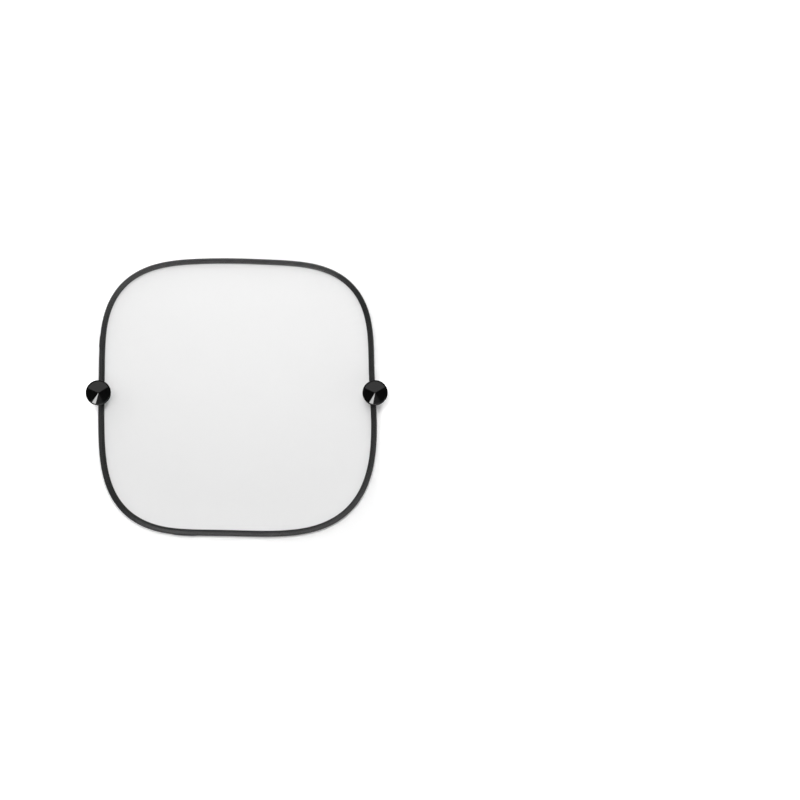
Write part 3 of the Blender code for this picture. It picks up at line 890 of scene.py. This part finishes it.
# Bright and dark parts of the studio round the table: azimuths, elevations, radiance, soft edge
STUDIO_PATCHES = (
    ((59.5, 79.5), (43.0, 50.5), 14.0, 0.6),
    ((-150.0, -25.0), (41.5, 51.0), 1.0, 1.5),
    ((79.5, 120.0), (33.0, 60.0), 0.3, 4.0),
    ((70.0, 154.0), (56.0, 73.0), 4.4, 3.0),
    ((-60.0, 20.0), (10.0, 31.0), 1.4, 3.0),
    ((60.0, 130.0), (12.0, 30.0), 2.6, 3.0),
    ((130.0, 190.0), (12.0, 31.0), 2.2, 3.0),
)
STUDIO_DARK = 0.03
HORIZON = 0.10
HORIZON_TOP = (20.0, 30.0)  # elevations between which the horizon's light fades

# Two lamps that no gloss mirrors: a softbox above the shade's top, and a broad one from the left
FILL_PLACE = (0.013, 0.36, 0.66)
FILL_SIZE = (0.37, 0.30)
FILL_RADIANCE = 5.1
SIDE_FILL = (175.0, 50.0, 0.28, 45.0)  # azimuth, elevation, strength and spread

TABLE_HALF = 12.0
TABLE_DROP = 0.0002  # from the shade's underside to the table
TABLE_TONE = 0.92
GLOW_OUT = (0.22, 0.65, 0.125, 0.42)  # how the table's glow, painted light, rises from round the shade outwards
GLOW_LEFT = (0.15, -0.15, 0.0, 0.14)  # what painted light it gains towards the left, which fades the shade's shadows there
GLOW_DOWN = (0.05, -0.25, 0.0, 0.04)  # and towards the foot of the picture, where the lamps' light falls off
GLOW_PAST_LEFT = (-0.1885, -0.1950, 0.0, 0.40)  # and past the shade's left side, which washes out the left cup's shadow
GLOW_PAST_RIGHT = (0.1945, 0.2005, 0.0, 0.30)  # and past its right side, which washes out much of the right cup's shadow


def build_floor():
    """A white table that reads as white to the camera, by a glow that is painted light: it keeps the shadow
    near the shade and washes it out past the shade's sides.
    """
    mesh = bpy.data.meshes.new("table")
    corners = [(x * TABLE_HALF, y * TABLE_HALF, -TABLE_DROP) for x, y in ((-1, -1), (1, -1), (1, 1), (-1, 1))]
    mesh.from_pydata(corners, [], [(0, 1, 2, 3)])
    table = bpy.data.objects.new("table", mesh)
    bpy.context.collection.objects.link(table)
    material = bpy.data.materials.new("white_table")
    material.use_nodes = True
    tree = material.node_tree
    nodes = Nodes(tree)
    tree.nodes.clear()
    matte = nodes.add("ShaderNodeBsdfDiffuse")
    matte.inputs["Color"].default_value = grey(TABLE_TONE)
    glow = nodes.add("ShaderNodeEmission")
    split = nodes.add("ShaderNodeSeparateXYZ")
    place = nodes.add("ShaderNodeTexCoord").outputs["Object"]
    nodes.put(place, split.inputs[0])
    away = nodes.add("ShaderNodeVectorMath", operation="LENGTH")
    nodes.put(place, away.inputs[0])
    # painted light: the glow's strength by place, low round the shade and higher towards the left, the foot,
    # past the sides and far away
    outward = nodes.ramp(away.outputs["Value"], *GLOW_OUT)
    strength = nodes.math("ADD", outward, nodes.ramp(split.outputs["X"], *GLOW_LEFT))
    strength = nodes.math("ADD", strength, nodes.ramp(split.outputs["Y"], *GLOW_DOWN))
    for gain in (GLOW_PAST_LEFT, GLOW_PAST_RIGHT):
        strength = nodes.math("ADD", strength, nodes.ramp(split.outputs["X"], *gain))
    path = nodes.add("ShaderNodeLightPath")
    seen = nodes.math("MAXIMUM", path.outputs["Is Camera Ray"], path.outputs["Is Glossy Ray"])
    seen = nodes.math("MAXIMUM", seen, path.outputs["Is Transmission Ray"])
    nodes.put(nodes.math("MULTIPLY", seen, strength), glow.inputs["Strength"])
    both = nodes.add("ShaderNodeAddShader")
    tree.links.new(matte.outputs[0], both.inputs[0])
    tree.links.new(glow.outputs[0], both.inputs[1])
    output = nodes.add("ShaderNodeOutputMaterial")
    tree.links.new(both.outputs[0], output.inputs["Surface"])
    dress(table, material)


def add_lamp(name, kind):
    """A lamp that the camera and glossy faces don't see, as its object and its data."""
    lamp = bpy.data.lights.new(name, kind)
    item = bpy.data.objects.new(name, lamp)
    item.visible_camera = False
    item.visible_glossy = False
    bpy.context.collection.objects.link(item)
    return item, lamp


def build_fill():
    """The two lamps that light the cloth and the table."""
    item, lamp = add_lamp("top_fill", "AREA")
    lamp.shape = "RECTANGLE"
    lamp.size, lamp.size_y = FILL_SIZE
    lamp.energy = FILL_RADIANCE * math.pi * math.prod(FILL_SIZE)
    item.location = FILL_PLACE
    item.rotation_mode = "QUATERNION"
    item.rotation_quaternion = (-Vector(FILL_PLACE)).to_track_quat("-Z", "Y")

    item, lamp = add_lamp("side_fill", "SUN")
    azimuth, elevation, lamp.energy, spread = SIDE_FILL
    lamp.angle = math.radians(spread)
    item.rotation_euler = (0, math.radians(90 - elevation), math.radians(azimuth))


def patch(nodes, azimuth, elevation, azimuths, elevations, soft):
    """One inside a patch of the studio given in degrees, falling to zero at its edges."""
    product = None
    for angle, (low, high) in ((azimuth, azimuths), (elevation, elevations)):
        for edge, side in ((low, soft), (high, -soft)):
            inside = nodes.ramp(angle, edge - side, edge + side)
            product = inside if product is None else nodes.math("MULTIPLY", product, inside)
    return product


def build_world():
    """The studio round the table, as softboxes and cards in a dark room with a white base."""
    world = bpy.data.worlds.new("studio")
    bpy.context.scene.world = world
    world.use_nodes = True
    tree = world.node_tree
    nodes = Nodes(tree)
    background = tree.nodes["Background"]
    split = nodes.add("ShaderNodeSeparateXYZ")
    nodes.put(nodes.add("ShaderNodeTexCoord").outputs["Generated"], split.inputs[0])
    x, y, z = split.outputs
    azimuth = nodes.math("DEGREES", nodes.math("ARCTAN2", y, x))
    elevation = nodes.math("DEGREES", nodes.math("ARCSINE", z))
    total = nodes.ramp(elevation, *HORIZON_TOP, HORIZON, STUDIO_DARK)
    for azimuths, elevations, radiance, soft in STUDIO_PATCHES:
        inside = patch(nodes, azimuth, elevation, azimuths, elevations, soft)
        total = nodes.math("MAXIMUM", total, nodes.math("MULTIPLY", inside, radiance))
    nodes.put(total, background.inputs["Strength"])
    background.inputs["Color"].default_value = grey(1.0)


def build_camera():
    """A camera far above the table that looks straight down on the photograph's frame."""
    middle = PHOTO_PIXELS / 2
    across = (middle - ORIGIN_PIXEL[0]) * PIXEL
    up = (ORIGIN_PIXEL[1] - middle) * PIXEL
    camera = bpy.data.cameras.new("camera")
    camera.sensor_width = SENSOR
    camera.lens = SENSOR * CAMERA_HEIGHT / (PHOTO_PIXELS * PIXEL)
    camera.clip_end = 3 * CAMERA_HEIGHT
    item = bpy.data.objects.new("camera", camera)
    item.location = (across, up, CAMERA_HEIGHT)
    bpy.context.collection.objects.link(item)
    bpy.context.scene.camera = item


def build_sunshade():
    """Every piece of the shade, dressed and riding on its body."""
    hoop = Hoop()
    pivots = cup_pivots()

    tape = build_binding(hoop, pivots)
    dress(tape, tape_material())
    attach(tape, "shade")
    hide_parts("edge_binding")

    thread = thread_material()
    stitches = [build_stitches(hoop, side) for side in (1, -1)]
    for item in stitches:
        dress(item, thread)
        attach(item, "shade")

    cloth, edge = build_panel(hoop, pivots)
    dress(cloth, panel_material())
    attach(cloth, "shade")
    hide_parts("fabric_panel")

    pvc = cup_material()
    for body, pivot in pivots.items():
        side = body.split("_")[0]
        cup = build_cup(side + "_cup_pvc", pivot)
        dress(cup, pvc)
        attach(cup, body)
        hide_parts(side + "_suction_cup")

    dress(frame["nodes"]["hoop_wire"], steel_material("drawn_wire", *WIRE_STEEL))
    dress(frame["nodes"]["wire_sleeve"], steel_material("plated_sleeve", *SLEEVE_STEEL))


bpy.context.scene.view_settings.view_transform = "Standard"
build_camera()
build_floor()
build_fill()
build_world()
build_sunshade()
